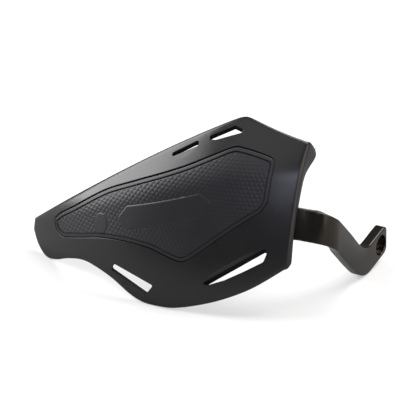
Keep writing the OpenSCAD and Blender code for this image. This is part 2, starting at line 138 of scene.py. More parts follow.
def moulded_plastic(name, colour, dark, roughness, grain_mm, grain_depth, ior=1.49, level=0.5,
                    sheen="#ffffff"):
    material, tree = new_material(name)
    where = add_node(tree, "ShaderNodeTexCoord").outputs["Object"]
    grain = add_node(tree, "ShaderNodeTexNoise", None, Vector=where, Scale=1 / (grain_mm * MM), Detail=2.0)
    cloud = add_node(tree, "ShaderNodeTexNoise", None, Vector=where, Scale=1 / (CLOUD_MM * MM), Detail=3.0)
    tint = add_node(tree, "ShaderNodeMix", {"data_type": "RGBA"}, _0=cloud.outputs["Fac"],
                    _6=linear(dark), _7=linear(colour))
    gloss = add_node(tree, "ShaderNodeMapRange", None, Value=cloud.outputs["Fac"],
                     From_Min=CLOUD_LOW, From_Max=CLOUD_HIGH,
                     To_Min=roughness - GLOSS_SPREAD, To_Max=roughness + GLOSS_SPREAD)
    bump = add_node(tree, "ShaderNodeBump", None, Height=grain.outputs["Fac"],
                    Strength=grain_depth, Distance=GRAIN_RISE_MM * MM)
    shader = add_node(tree, "ShaderNodeBsdfPrincipled", None, Base_Color=tint.outputs[2],
                      Roughness=gloss.outputs[0], IOR=ior, Specular_IOR_Level=level,
                      Specular_Tint=linear(sheen))
    finish_material(tree, shader, bump)
    return material


shell_plastic = moulded_plastic("moulded_polypropylene_satin_black", "#1c1c1e", "#18181a", 0.25, 0.35, 0.2)
panel_plastic = moulded_plastic("moulded_polypropylene_matt_grey", "#26262b", "#222226", 0.38, 0.3, 0.25,
                                level=0.4)
arm_plastic = moulded_plastic("glass_filled_nylon_dark", "#0e0d0c", "#0b0a09", 0.2, 0.5, 0.2, ior=1.53,
                              sheen="#fff0e0")
# Painted shade: a blacker, duller plastic for the walls of the vents and the pocket, standing for the
# shadow in them
shade_painted_plastic = moulded_plastic("polypropylene_black_painted_shade", "#0d0d0e", "#0a0a0b", 0.8, 0.2, 0.4,
                           level=0.2)
print("plastics:", [m.name for m in (shell_plastic, panel_plastic, arm_plastic, shade_painted_plastic)])

# %% [markdown]
# ## Metals
# The screws are steel with a black zinc coat, the washers are steel with a bright zinc coat, and the
# threaded inserts are brass. Rolled and turned metal shows fine rings or drawing lines, drawn here
# as stretched noise in the roughness and in a slight bump. A metal's colour is its reflection, so
# Metallic is 1.

# %% Metals
LINE_MM, LINE_STRETCH = 1.2, (1.0, 1.0, 8.0)
LINE_SPREAD, LINE_DEPTH, LINE_RISE_MM = 0.08, 0.15, 0.02


def turned_metal(name, colour, roughness):
    material, tree = new_material(name)
    where = add_node(tree, "ShaderNodeTexCoord").outputs["Object"]
    drawn = add_node(tree, "ShaderNodeMapping", None, Vector=where, Scale=LINE_STRETCH)
    lines = add_node(tree, "ShaderNodeTexNoise", None, Vector=drawn.outputs[0], Scale=1 / (LINE_MM * MM))
    gloss = add_node(tree, "ShaderNodeMapRange", None, Value=lines.outputs["Fac"],
                     To_Min=roughness - LINE_SPREAD, To_Max=roughness + LINE_SPREAD)
    bump = add_node(tree, "ShaderNodeBump", None, Height=lines.outputs["Fac"],
                    Strength=LINE_DEPTH, Distance=LINE_RISE_MM * MM)
    shader = add_node(tree, "ShaderNodeBsdfPrincipled", None, Base_Color=linear(colour),
                      Metallic=1.0, Roughness=gloss.outputs[0])
    finish_material(tree, shader, bump)
    return material


black_steel = turned_metal("black_zinc_plated_steel", "#3a3a3d", 0.38)
bright_steel = turned_metal("bright_zinc_plated_steel", "#b9bcc0", 0.32)
insert_brass = turned_metal("turned_brass", "#c9a25e", 0.3)
print("metals:", black_steel.name, bright_steel.name, insert_brass.name)

# %% [markdown]
# ## The form of the shield
# A hand guard's face is one continuous surface: it wraps round the hand along the handlebar, leans
# back more and more with height, and its brow bends back once more along a soft line. The CAD
# source's formula is written here with its sizes, in millimetres, so that fine pieces land on the
# solids. Only a few sizes of the turned edge, the vents and the arm differ a little. Each of the
# guard's curved edges runs smoothly through a few measured knots.

# %% Curves through knots
OUT_X, FOLD_X = -124.0, 82.4
CROWN_X, WRAP_R = 10.0, 165.0
FOOT_LEAN, LEAN_R = 0.11, 232.0
BROW_CURL, BROW_SOFT = 0.45, 8.0
APEX_X, APEX_Z, APEX_SOFT = 36, 129.4, 2.6
OUT_RAKE, OUT_BEND, IN_RAKE = 0.44, 650, 0.275
FOLD_TURN, FOLD_R, FLANGE_D, HORN_D = 50.0, 4.6, 0.9, 7.4
FLANGE_RISE, FLANGE_FALL, HORN_V, HORN_W = 2.0, 9.0, 0.945, 0.07
HEEL_D, HEEL_W = 1.6, 0.2
FOLD_SPAN = 4
FOLD_END = FOLD_X + 2 * FOLD_SPAN
WALL = 3.2
HALF_STEP = 0.5

FOOT_EDGE = [(-124, 12), (-119, 4.8), (-110.5, -0.05), (-101, 2), (-88, 8.8), (-74, 13.6), (-62, 13.8),
             (-45, 10.2), (-28, 2.8), (-18, 0.15), (-7, 0.05), (6, 1.2), (25, 6.5), (43, 13), (62, 22.2),
             (84, 37)]
BROW_LINE = [(-125, 20), (-60, 62), (10, 92), (45, 102), (95, 102)]


def knot_slope(knots, i):
    a, b = max(i - 1, 0), min(i + 1, len(knots) - 1)
    return (knots[b][1] - knots[a][1]) / (knots[b][0] - knots[a][0])


def along(knots, x):
    i = 0
    while i < len(knots) - 2 and x > knots[i + 1][0]:
        i += 1
    (x0, z0), (x1, z1) = knots[i], knots[i + 1]
    w = x1 - x0
    t = (x - x0) / w
    return (z0 * (2 * t ** 3 - 3 * t * t + 1) + z1 * (3 * t * t - 2 * t ** 3)
            + w * knot_slope(knots, i) * (t ** 3 - 2 * t * t + t)
            + w * knot_slope(knots, i + 1) * (t ** 3 - t * t))


def top_edge(x):
    left = APEX_Z - OUT_RAKE * (APEX_X - x) - min(x - APEX_X, 0) ** 2 / OUT_BEND
    down = APEX_Z - IN_RAKE * (x - APEX_X)
    return (left + down - math.sqrt((left - down) ** 2 + APEX_SOFT ** 2)) / 2


def foot_edge(x):
    return along(FOOT_EDGE, x)


def tilt(edge, x):
    # The height that a step square to a sloping edge covers, for each millimetre of the step
    return math.sqrt(1 + (edge(x + HALF_STEP) - edge(x - HALF_STEP)) ** 2)


print("height of the shield at the apex in mm:", round(top_edge(APEX_X), 1))

# %% [markdown]
# The next functions place a point. `face` gives how far the outer skin lies behind the foremost
# plane, `on_face` goes inward from it by a depth, and `on_fold` does the same on the narrow edge
# that turns back at the inboard side. `stand` shifts the result to where the guard stands.

# %% Points on the shield
def ramp(t, width):
    return 0.0 if t < -width else t if t > width else (t + width) ** 2 / (4 * width)


def face(x, z):
    return ((x - CROWN_X) ** 2 / (2 * WRAP_R) + FOOT_LEAN * z + z * z / (2 * LEAN_R)
            + BROW_CURL * ramp(z - along(BROW_LINE, x), BROW_SOFT))


def slopes(x, z):
    return (face(x + HALF_STEP, z) - face(x - HALF_STEP, z),
            face(x, z + HALF_STEP) - face(x, z - HALF_STEP))


def on_face(x, z, depth):
    sx, sz = slopes(x, z)
    return Vector((x, face(x, z), z)) + depth * Vector((-sx, 1, -sz)).normalized()


def on_fold(q, z0, depth):
    # q runs from 0 to 1 round the bend, to 2 across the flange, and on over its rolled edge. v is the
    # height along the fold, from 0 at its foot to 1 at the horn
    low, high = foot_edge(FOLD_X), top_edge(FOLD_X)
    v = (z0 - low) / (high - low)
    sx, sz = slopes(FOLD_X, z0)
    start = math.atan(sx)
    turn = start + math.radians(FOLD_TURN) * min(q, 1)
    reach = (FLANGE_D + HORN_D * math.exp(-((min(v, 1.0) - HORN_V) / HORN_W) ** 2)
             + HEEL_D * math.exp(-(v / HEEL_W) ** 2))
    run = max(min(q, 2) - 1, 0) * reach + max(q - 2, 0)
    x = FOLD_X - FOLD_R * math.sin(start) + FOLD_R * math.sin(turn) + run * math.cos(turn)
    y = face(FOLD_X, z0) + FOLD_R * math.cos(start) - FOLD_R * math.cos(turn) + run * math.sin(turn)
    drift = (FLANGE_RISE - v * (FLANGE_RISE + FLANGE_FALL)) * (min(q, 2) / 2) ** 2
    inward = Vector((-math.sin(turn), math.cos(turn), -sz * math.cos(turn))).normalized()
    return Vector((x, y, z0 + drift)) + depth * inward


STAND = Vector((3.405, -67.304, 1.252))


def stand(point):
    return (point + STAND) * MM


def formed(s, z, depth):
    # s is the station along the flat pattern. Past FOLD_X it counts the turned edge: one FOLD_SPAN
    # for its bend and one more for its flange
    return stand(on_face(s, z, depth) if s <= FOLD_X else on_fold((s - FOLD_X) / FOLD_SPAN, z, depth))


print("foremost point of the face:", [round(c, 4) for c in formed(CROWN_X, 5, 0)])

# %% [markdown]
# ## Cutting and forming the shield
# The shield is made as a sheet-metal worker would make it: a flat pattern is cut out first, then
# formed. In the flat pattern x is the station, y the height and z the depth into the wall. A grid
# gives the field, closer rows give its rolled edges, and the vents and the panel's pocket are cut
# in it. The cut takes away the grid's faces near an outline, and `triangle_fill` closes the strip
# between them and the new outline. So the outline is smooth, and its ring can be rounded by inset.

# %% Outlines
def rounded(corners, radius, steps=5):
    points = []
    for i, corner in enumerate(corners):
        p = Vector(corner)
        a = (Vector(corners[i - 1]) - p).normalized()
        b = (Vector(corners[(i + 1) % len(corners)]) - p).normalized()
        half = a.angle(b) / 2
        middle = p + (a + b).normalized() * radius / math.sin(half)
        start = p + a * radius / math.tan(half) - middle
        end = p + b * radius / math.tan(half) - middle
        for k in range(steps + 1):
            spoke = start.lerp(end, k / steps)
            points.append(middle + spoke.normalized() * radius)
    return points


def grown(points, by):
    out = []
    area = sum(a.x * b.y - b.x * a.y for a, b in zip(points, points[1:] + points[:1]))
    for i, p in enumerate(points):
        a, b = (p - points[i - 1]), (points[(i + 1) % len(points)] - p)
        edge = (a.normalized() + b.normalized()).normalized()
        out.append(p + Vector((edge.y, -edge.x)) * by * (1 if area > 0 else -1))
    return out


def distance_to(points, x, z):
    # Distance from an outline, negative inside it
    best, inside = 1e9, False
    for a, b in zip(points, points[1:] + points[:1]):
        ex, ez, px, pz = b.x - a.x, b.y - a.y, x - a.x, z - a.y
        t = max(0.0, min(1.0, (px * ex + pz * ez) / (ex * ex + ez * ez + 1e-12)))
        best = min(best, (px - t * ex) ** 2 + (pz - t * ez) ** 2)
        if (a.y > z) != (b.y > z) and x < a.x + (z - a.y) / (b.y - a.y) * ex:
            inside = not inside
    return -math.sqrt(best) if inside else math.sqrt(best)


# Each vent's corners, the radius they are rounded by, and its slant through the wall in degrees
VENT_SHAPES = [
    ([(-12.4, 100.2), (5.2, 110.8), (9, 111.2), (6.4, 108.7), (-10, 99.6)], 0.9, 75),
    ([(9.8, 113), (30.4, 123.2), (39.6, 121.4), (19.2, 114.2)], 0.9, 75),
    ([(24.8, 21.3), (68.1, 50.4), (69.7, 46.5), (67.9, 40.6), (54.8, 33), (42.4, 26.2),
      (32.2, 22)], 1, 64),
    ([(-46.2, 15.9), (-43.8, 20.7), (-10.6, 13.8), (-15.6, 6.4)], 1, 0),
]
VENTS = [(rounded(corners, radius), slant) for corners, radius, slant in VENT_SHAPES]
PANEL_TOP = [(-102, 31.4), (-97.5, 36.4), (-89, 43.3), (-60, 66), (-36, 79), (-8, 92), (4, 97.6),
             (22, 106.6), (35, 112.3), (42, 112.2), (50, 111.1), (60, 108.9), (63.2, 107.6), (65, 105.4)]
PANEL_FOOT = [(-102, 28.6), (-99.6, 24.6), (-93, 22.5), (-86, 25), (-76, 28.8), (-58, 35.4), (-36, 39.6),
              (-15, 40), (3, 36.2), (11, 36), (22, 43.8), (39, 58.2), (55, 70.2), (61.5, 75), (65, 81)]
PANEL_X0, PANEL_X1, PANEL_T, PANEL_GAP = -102.0, 65.0, 1.6, 0.6
POCKET_D = PANEL_T + 0.08


def panel_foot(x):
    return along(PANEL_FOOT, x)


def panel_top(x):
    return along(PANEL_TOP, x)


def panel_outline(spacing=1.5, parts=16):
    count = round((PANEL_X1 - PANEL_X0) / spacing)
    stations = [PANEL_X0 + (PANEL_X1 - PANEL_X0) * i / count for i in range(count + 1)]
    low = [Vector((x, panel_foot(x))) for x in stations]
    high = [Vector((x, panel_top(x))) for x in reversed(stations)]
    side = [Vector((PANEL_X1, low[-1].y + (high[0].y - low[-1].y) * k / parts)) for k in range(1, parts)]
    return low + side + high


print("outlines:", len(VENTS), "vents, panel of", len(panel_outline()), "points")

# %% [markdown]
# A louvre's hole goes through the wall on a slant, so its outline on the inner skin is lower than on
# the outer one. `louvre_exit` finds that outline point by point: it halves the stretch of the slanted
# line in which the line leaves the wall, until it has the place where it meets the inner skin.

# %% Louvres and the cut
HALVINGS, ROUNDS = 24, 6
FLAT_RING, NEARBY = 0.2, 6


def wall_depth(p):
    sx, sz = slopes(p.x, p.z)
    return (p.y - face(p.x, p.z)) / math.sqrt(1 + sx * sx + sz * sz)


def louvre_exit(point, slant):
    start = on_face(point.x, point.y, 0)
    course = Vector((0, math.cos(math.radians(slant)), -math.sin(math.radians(slant))))
    near, far = 0.0, 4 * WALL
    for _ in range(HALVINGS):
        middle = (near + far) / 2
        near, far = (middle, far) if wall_depth(start + middle * course) < WALL else (near, middle)
    end = start + near * course
    tip = Vector((end.x, end.z))
    for _ in range(ROUNDS):
        shift = on_face(tip.x, tip.y, WALL) - on_face(tip.x, tip.y, 0)
        tip = Vector((end.x - shift.x, end.z - shift.z))
    return tip


def cut_hole(bm, skin, outline, lip, depth, margin=1.5):
    # Opens an outline in one skin at the given depth. A narrow flat ring comes first, so that only
    # the lip inside it is shaded round. Two more rings then sink by lip, inward or, if it's
    # negative, outward.
    wide = grown(outline, abs(lip) + FLAT_RING)
    lows = [min(p[i] for p in wide) - NEARBY for i in (0, 1)]
    highs = [max(p[i] for p in wide) + NEARBY for i in (0, 1)]
    near = [f for f in skin if f.is_valid and lows[0] < f.verts[0].co.x < highs[0]
            and lows[1] < f.verts[0].co.y < highs[1]]
    doomed = [f for f in near if any(distance_to(wide, v.co.x, v.co.y) < margin for v in f.verts)]
    edges = {e for f in doomed for e in f.edges}
    bmesh.ops.delete(bm, geom=doomed, context="FACES")
    stair = [e for e in edges if e.is_valid and len(e.link_faces) == 1]
    ring = [bm.verts.new((p.x, p.y, depth)) for p in wide]
    disc = bm.faces.new(ring)
    loop = list(disc.edges)
    bmesh.ops.triangle_fill(bm, use_beauty=True, edges=stair + loop, normal=(0, 0, 1))
    for inset, drop in ((FLAT_RING, 0.0), (abs(lip) * 0.7, 0.3), (abs(lip) * 0.3, 1.0)):
        bmesh.ops.inset_region(bm, faces=[disc], thickness=inset, use_even_offset=False)
        for v in disc.verts:
            v.co.z = depth + lip * drop
    rim = list(disc.edges)
    bmesh.ops.delete(bm, geom=[disc], context="FACES_ONLY")
    return rim


corner, slant = VENTS[2][0][0], VENTS[2][1]
print("drop of the lower louvre in mm:", round(corner.y - louvre_exit(corner, slant).y, 1))

# %% [markdown]
# One skin of the shield is a grid. Its outer rows and columns are set one by one, so that they roll
# the edge over softly: each entry of `ROLL` says how far outside the outline a row lies, and how deep
# in the wall.

# %% One skin of the shield
ROLL = [(0.9, 1.42), (0.84, 1.02), (0.64, 0.62), (0.22, 0.32), (-0.45, 0.12), (-1.25, 0.03), (-2.1, 0.0)]
FIELD_IN_X, FIELD_IN_Z = 3, 2.2
COLUMNS, ROWS, FOLD_COLUMNS = 108, 62, 10


def skin_stations():
    run = FOLD_X - OUT_X - FIELD_IN_X
    field = [OUT_X + FIELD_IN_X + run * i / COLUMNS for i in range(COLUMNS + 1)]
    fold = [FOLD_X + 2 * FOLD_SPAN * (i + 1) / FOLD_COLUMNS for i in range(FOLD_COLUMNS)]
    start = [(OUT_X - out, deep) for out, deep in ROLL]
    end = [(FOLD_END + FOLD_SPAN * out, deep) for out, deep in reversed(ROLL) if out > 0]
    return start + [(s, 0.0) for s in field + fold] + end


def grid_index(value, count):
    # A new grid runs from -1 to 1: the number of a vertex's column or row in it
    return round((value + 1) / 2 * count)


def shield_skin(bm, side):
    # side 0 is the outer skin, side 1 the inner one
    stations = skin_stations()
    count = ROWS + 2 * len(ROLL)
    made = bmesh.ops.create_grid(bm, x_segments=len(stations) - 1, y_segments=count, size=1)
    for v in made["verts"]:
        s, deep_s = stations[grid_index(v.co.x, len(stations) - 1)]
        j = grid_index(v.co.y, count)
        x = min(s, FOLD_X)
        low, high = foot_edge(x), top_edge(x)
        if j < len(ROLL):
            out, deep = ROLL[j]
            z = low - out * tilt(foot_edge, x)
        elif j > count - len(ROLL):
            out, deep = ROLL[count - j]
            z = high + out * tilt(top_edge, x)
        else:
            low, high = low + FIELD_IN_Z, high - FIELD_IN_Z
            z, deep = low + (high - low) * (j - len(ROLL) + 1) / (ROWS + 2), 0.0
        depth = max(deep, deep_s)
        v.co = (s, z, WALL - depth if side else depth)
    faces = list({f for v in made["verts"] for f in v.link_faces})
    rim = [e for e in {e for f in faces for e in f.edges} if len(e.link_faces) == 1]
    return faces, rim


shield = bmesh.new()
outer_faces, outer_rim = shield_skin(shield, 0)
inner_faces, inner_rim = shield_skin(shield, 1)
print("faces in a skin:", len(outer_faces))

# %% [markdown]
# The vents are cut in both skins. The lip's sign says which way its rounding goes: into the wall from
# the outer face, and back towards it from the inner face.

# %% Vents in both skins
VENT_LIP = 0.3
vent_rings = []
for outline, slant in VENTS:
    through = [louvre_exit(p, slant) for p in outline]
    vent_rings.append((cut_hole(shield, outer_faces, outline, VENT_LIP, 0.0),
                       cut_hole(shield, inner_faces, through, -VENT_LIP, WALL)))
print("vents cut:", len(vent_rings))

# %% [markdown]
# The pocket that takes the panel is cut the same way, but only in the outer skin. Its ring is
# extruded to the panel's depth, and a floor closes it: the floor is a coarser grid that stays clear
# of the ring, with the same fill between the two.

# %% Pocket for the panel
POCKET_LIP, FLOOR_CLEAR = 0.25, 1.2
FLOOR_X, FLOOR_Z, FLOOR_HALF_X, FLOOR_HALF_Z = -22, 68, 90, 50
FLOOR_COLUMNS, FLOOR_ROWS = 84, 46

pocket = grown(panel_outline(), PANEL_GAP)
pocket_ring = cut_hole(shield, outer_faces, pocket, POCKET_LIP, 0.0)
wall_made = bmesh.ops.extrude_edge_only(shield, edges=pocket_ring)["geom"]
cut_walls = [g for g in wall_made if isinstance(g, bmesh.types.BMFace)]
floor_ring = [g for g in wall_made if isinstance(g, bmesh.types.BMEdge)
              and all(v in wall_made for v in g.verts)]
for v in {v for e in floor_ring for v in e.verts}:
    v.co.z = POCKET_D
floor_ring = [e for e in floor_ring if len(e.link_faces) == 1]

floor_grid = bmesh.ops.create_grid(shield, x_segments=FLOOR_COLUMNS, y_segments=FLOOR_ROWS, size=1)
for v in floor_grid["verts"]:
    v.co = (FLOOR_X + FLOOR_HALF_X * v.co.x, FLOOR_Z + FLOOR_HALF_Z * v.co.y, POCKET_D)
floor_faces = list({f for v in floor_grid["verts"] for f in v.link_faces})
outside = [f for f in floor_faces
           if any(distance_to(pocket, v.co.x, v.co.y) > -FLOOR_CLEAR for v in f.verts)]
bmesh.ops.delete(shield, geom=outside, context="FACES")
stair = [e for f in floor_faces if f.is_valid for e in f.edges if len(e.link_faces) == 1]
bmesh.ops.triangle_fill(shield, use_beauty=True, edges=floor_ring + stair, normal=(0, 0, 1))
print("pocket ring:", len(floor_ring), "edges")

# %% [markdown]
# Now the pattern is formed: every point moves from the flat pattern to the curved face. Then the two
# skins are joined round the outline and through each vent with bridge_loops, which makes the wall.
# The walls of the vents and of the pocket take the shield's second material, whose blacker colour is
# painted shade.

# %% Form the shield and close it
for v in shield.verts:
    v.co = formed(*v.co)
bmesh.ops.bridge_loops(shield, edges=outer_rim + inner_rim)
for a, b in vent_rings:
    cut_walls += bmesh.ops.bridge_loops(shield, edges=a + b)["faces"]
# Painted shade: these walls take the blacker second material
for f in cut_walls:
    f.material_index = 1
bmesh.ops.recalc_face_normals(shield, faces=shield.faces)
print("open edges of the shield:", sum(1 for e in shield.edges if len(e.link_faces) != 2))

# %% [markdown]
# ## Helpers for pieces
# A finished shape becomes a mesh on an object at the origin. Its faces are shaded smooth, and edges
# that turn more than a set angle stay crisp. The piece then rides the part's one body, gets its
# material slots, and hides the CAD solid whose place it takes.

# %% Piece helpers
WELD = 1e-6


def mesh_object(name, bm):
    mesh = bpy.data.meshes.new(name)
    bm.to_mesh(mesh)
    bm.free()
    thing = bpy.data.objects.new(name, mesh)
    bpy.context.scene.collection.objects.link(thing)
    return thing


def make_piece(name, bm, materials, nodes, sharp=40):
    piece = mesh_object(name, bm)
    for material in materials:
        piece.data.materials.append(material)
    piece.data.shade_smooth()
    piece.data.set_sharp_from_angle(angle=math.radians(sharp))
    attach(piece, "root")
    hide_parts(*nodes)
    print(name, "triangles:", sum(len(p.vertices) - 2 for p in piece.data.polygons))


print("points closer than this are welded, in mm:", WELD / MM)

# %% [markdown]
# ## The arm's path
# The arm is a flat bar of glass-filled nylon, 8 mm thick. It starts behind the shield, leaning as the
# wall leans, turns to the rear in a round bend, falls, and rises again past an elbow to its eye. Its
# ends lie where the CAD's do, and its bend is rounder. The bosses behind the shield are placed with
# the same functions.

# %% Path of the arm
ARM_T, ROOT_H, TAIL_H, EYE_H = 8.0, 23.0, 26.6, 21.2
ROOT_L, TAIL_L, BEND_R = 60.4, 73.4, 18.0
ROOT_A, TAIL_A, ROOT_LEAN = 14.0, 6.0, 22.0
LEAN_S0, LEAN_S1 = -16.0, 12.0
WIDEN_RUN, TAPER_S, TAPER_RUN = 11.0, 24, 36
ROOT_S, ROOT_SOFT, DROP_S, DROP_SOFT, ELBOW_S, ELBOW_SOFT = -20, 3, -2.05, 7, 47.75, 10
ROOT_Z, ROOT_FALL, TAIL_FALL, EYE_RISE = 62.7, 0.156, 1.044, 0.21
TURN_X, TURN_Y, CORNER_R = 108.2, 48, 5.0
BEND_TURN = 90 - TAIL_A - ROOT_A
BEND_HALF = (BEND_R - ARM_T / 2) * math.radians(BEND_TURN) / 2
ARM_S0, ARM_S1 = -BEND_HALF - ROOT_L, BEND_HALF + TAIL_L


def heading_vector(angle):
    return Vector((math.cos(math.radians(angle)), math.sin(math.radians(angle)), 0))


BEND_REACH = BEND_R * math.tan(math.radians(BEND_TURN / 2))
BEND_CENTRE = (Vector((TURN_X, TURN_Y, 0)) - BEND_REACH * heading_vector(ROOT_A)
               + BEND_R * heading_vector(ROOT_A + 90))


def smooth(t):
    c = max(0.0, min(1.0, t))
    return c * c * (3 - 2 * c)


def arm_height(s):
    return (ROOT_Z - ROOT_FALL * ramp(s - ROOT_S, ROOT_SOFT)
            - (TAIL_FALL - ROOT_FALL) * ramp(s - DROP_S, DROP_SOFT)
            + (TAIL_FALL + EYE_RISE) * ramp(s - ELBOW_S, ELBOW_SOFT))


def arm_axes(s):
    # Heading along the arm, up its face, and through it to the rear
    angle = ROOT_A + BEND_TURN * max(0.0, min(1.0, (s + BEND_HALF) / (2 * BEND_HALF)))
    lean = math.radians(ROOT_LEAN * (1 - smooth((s - LEAN_S0) / (LEAN_S1 - LEAN_S0))))
    ahead, rear = heading_vector(angle), heading_vector(angle + 90)
    upward = rear * math.sin(lean) + Vector((0, 0, math.cos(lean)))
    through = rear * math.cos(lean) - Vector((0, 0, math.sin(lean)))
    run = s - BEND_HALF if s > BEND_HALF else min(0.0, s + BEND_HALF)
    spot = BEND_CENTRE - BEND_R * rear + run * ahead
    spot.z = arm_height(s)
    return spot, ahead, upward, through


def on_arm(s, height, depth):
    spot, _, upward, through = arm_axes(s)
    return stand(spot + upward * height + through * depth)


def arm_half(s):
    body = ROOT_H + (TAIL_H - ROOT_H) * smooth((s + WIDEN_RUN) / (2 * WIDEN_RUN))
    return (body + (EYE_H - body) * smooth((s - TAPER_S) / TAPER_RUN)) / 2


def root_s(x):
    start = BEND_CENTRE + BEND_R * -heading_vector(ROOT_A + 90)
    return -BEND_HALF - (start.x - x) / math.cos(math.radians(ROOT_A))


print("length of the arm in mm:", round(ARM_S1 - ARM_S0, 1))

# %% [markdown]
# ## Bosses and collars behind the shield
# Two round bosses reach from the wall to the arm's root and hold the brass inserts. Five short
# collars take the stubs of the panel. Each is a cylinder with a beveled end that sinks into the
# wall, as a moulded boss grows out of it.

# %% Bosses and collars
def frame_matrix(origin, along_z, side):
    x = side.normalized()
    z = along_z.normalized()
    return Matrix.Translation(origin) @ Matrix((x, z.cross(x), z)).transposed().to_4x4()


def add_post(bm, matrix, radius, low, high, round_by):
    made = bmesh.ops.create_cone(bm, cap_ends=True, segments=48, radius1=radius * MM, radius2=radius * MM,
                                 depth=(high - low) * MM,
                                 matrix=matrix @ Matrix.Translation((0, 0, (low + high) / 2 * MM)))
    tip = matrix @ Vector((0, 0, high * MM))
    axis = (matrix.to_3x3() @ Vector((0, 0, 1))).normalized()
    rim = [e for e in {e for v in made["verts"] for e in v.link_edges}
           if all(abs((v.co - tip).dot(axis)) < WELD for v in e.verts)]
    bmesh.ops.bevel(bm, geom=rim, offset=round_by * MM, offset_type="OFFSET", segments=3, profile=0.5,
                    affect="EDGES", material=-1)


def across_arm(s):
    spot, ahead, _, through = arm_axes(s)
    return frame_matrix(stand(spot), through, ahead)


def across_wall(x, z, depth):
    inward = on_face(x, z, 1) - on_face(x, z, 0)
    side = Vector((1, 0, 0)).cross(inward).cross(inward)
    return frame_matrix(stand(on_face(x, z, depth)), inward, side)


# Each boss's station, and how far it reaches forward from the arm into the wall
BOSSES = {50: 8.6, 76: 7.6}
STUBS = [(-88, 35), (-50, 57), (-12, 62), (20, 62), (42, 99)]
BOSS_R, COLLAR_R, COLLAR_H, SINK = 7.25, 4.8, 2.4, 1
for x, reach in BOSSES.items():
    add_post(shield, across_arm(root_s(x)), BOSS_R, -reach, 0, round_by=0.3)
for x, z in STUBS:
    add_post(shield, across_wall(x, z, WALL), COLLAR_R, -SINK, COLLAR_H, round_by=0.25)

make_piece("shell_moulding", shield, [shell_plastic, shade_painted_plastic], ["guard_shell"])

# %% [markdown]
# ## The panel
# The panel is a second moulding, let into the shield with a narrow gap all round. It has a plain
# border, then a thin groove, and its field is covered with low domes in a honeycomb order, 3.4 mm
# apart, that give grip and hide scratches. Two places in the field are left plain: an oval pad near
# the outboard end and a long land in the middle. A fine grid is pushed in by a relief depth that is
# worked out from the distance to the border, to the plain places and to the nearest dome's middle.
# `arc` and `climb` measure along the curved face, so that the domes keep their spacing on it.

# %% Relief of the panel
EDGE_IN, EDGE_FALL, BORDER, GROOVE, GROOVE_D, GROOVE_RUN = 0.5, 0.9, 1.8, 0.45, 1.0, 0.3
PITCH, DOME_H, DOME_REACH, FLOOR_D, BLEND = 3.4, 0.22, 0.32, 0.62, 0.5
PLAIN_RISE, PLAIN_RUN, FAR = 0.4, 0.7, 9.0
ROW_RATIO, BROW_STRETCH = 0.75, 0.26
LAND = rounded([(-46, 52), (-39, 63), (17, 83), (27, 78), (20, 67), (-36, 47)], 3)
LAND_X0, LAND_X1 = -49, 30
PAD_X, PAD_Z, PAD_HALF_X, PAD_HALF_Z = -59, 44.6, 6, 7.25
PAD = [Vector((PAD_X + PAD_HALF_X * math.cos(math.radians(a)),
               PAD_Z + PAD_HALF_Z * math.sin(math.radians(a)))) for a in range(0, 360, 15)]


def arc(x):
    t = (x - CROWN_X) / WRAP_R
    return WRAP_R / 2 * (t * math.sqrt(1 + t * t) + math.asinh(t))


def climb(x, z):
    lean = z + (FOOT_LEAN ** 2 * z + FOOT_LEAN * z * z / LEAN_R + z ** 3 / (3 * LEAN_R ** 2)) / 2
    return lean + BROW_STRETCH * ramp(z - along(BROW_LINE, x), BROW_SOFT)


def dome(x, z):
    # 1 on the crown of the nearest dome, falling as a paraboloid to where it meets its neighbours
    a, b = arc(x) / PITCH, climb(x, z) / (PITCH * math.sqrt(ROW_RATIO))
    best = FAR
    for row in (math.floor(b), math.floor(b) + 1):
        shift = 0.5 * (row % 2)
        for column in (math.floor(a - shift), math.floor(a - shift) + 1):
            best = min(best, (a - column - shift) ** 2 + ROW_RATIO * (b - row) ** 2)
    return 1 - best / DOME_REACH


def relief(x, z, inset):
    if inset < EDGE_IN:
        return EDGE_IN * EDGE_FALL * (1 - math.sqrt(max(0.0, 1 - (1 - inset / EDGE_IN) ** 2)))
    if inset < BORDER:
        return 0.0
    if inset < BORDER + GROOVE:
        return GROOVE_D * smooth((inset - BORDER) / GROOVE_RUN)
    plain = min(distance_to(PAD, x, z), distance_to(LAND, x, z) if LAND_X0 < x < LAND_X1 else FAR)
    if plain < 0:
        return FLOOR_D - PLAIN_RISE * smooth(-plain / PLAIN_RUN)
    domes = FLOOR_D - DOME_H * dome(x, z)
    domes += (GROOVE_D - domes) * (1 - smooth((inset - BORDER - GROOVE) / BLEND))
    return domes + (FLOOR_D - domes) * (1 - smooth(plain / BLEND))


print("domes across the panel:", round((arc(PANEL_X1) - arc(PANEL_X0)) / PITCH))

# %% [markdown]
# The grid's rows follow the panel's own edges, so that its border lines stay clean. The last rows and
# columns lie close together, to draw the rounded edge and the groove.

# %% The panel's grid
STEPS_IN = [0, 0.06, 0.18, 0.35, 1.2, 1.8, 1.95, 2.1, 2.35, 2.6]
PANEL_COLUMNS, PANEL_ROWS, FULL_ROOM = 330, 112, 5.6


